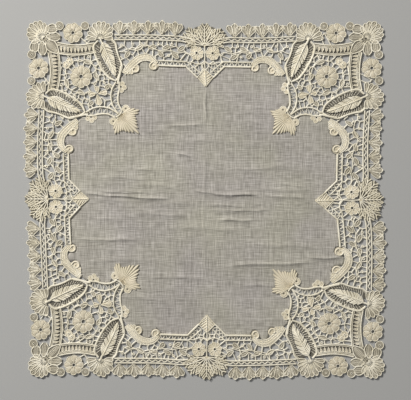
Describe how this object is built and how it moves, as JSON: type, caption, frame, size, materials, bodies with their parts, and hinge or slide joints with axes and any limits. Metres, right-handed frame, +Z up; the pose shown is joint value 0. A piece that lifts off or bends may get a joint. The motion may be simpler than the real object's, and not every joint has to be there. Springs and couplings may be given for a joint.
{
  "type": "lace handkerchief",
  "caption": "Square lace handkerchief laid flat: a sheer lawn centre in a broad scalloped bobbin lace border with corner panels, padded leaves and flowers.",
  "frame": {"origin": "middle of the cloth's outer box, on the surface it lies on", "axes": "+Z up out of the cloth, +Y towards the picture's top edge, +X towards its right edge"},
  "size_m": [0.335, 0.3318, 0.0026],
  "materials": {
    "lawn": "sheer plain-woven cotton lawn, matt",
    "lace": "ivory linen bobbin lace, matt",
    "padded_work": "ivory thread worked over padding, matt"
  },
  "bodies": {
    "root": {"lawn_centre": "lawn", "side_lace_north": "lace", "side_lace_east": "lace", "side_lace_south": "lace", "side_lace_west": "lace", "corner_lace_north_west": "lace", "corner_lace_north_east": "lace", "corner_lace_south_east": "lace", "corner_lace_south_west": "lace", "leaf_north_west_a": "padded_work", "leaf_north_west_b": "padded_work", "corner_flower_north_west": "padded_work", "edge_flower_north_west_a": "padded_work", "edge_flower_north_west_b": "padded_work", "leaf_north_east_a": "padded_work", "leaf_north_east_b": "padded_work", "corner_flower_north_east": "padded_work", "edge_flower_north_east_a": "padded_work", "edge_flower_north_east_b": "padded_work", "leaf_south_east_a": "padded_work", "leaf_south_east_b": "padded_work", "corner_flower_south_east": "padded_work", "edge_flower_south_east_a": "padded_work", "edge_flower_south_east_b": "padded_work", "leaf_south_west_a": "padded_work", "leaf_south_west_b": "padded_work", "corner_flower_south_west": "padded_work", "edge_flower_south_west_a": "padded_work", "edge_flower_south_west_b": "padded_work"}
  },
  "joints": []
}
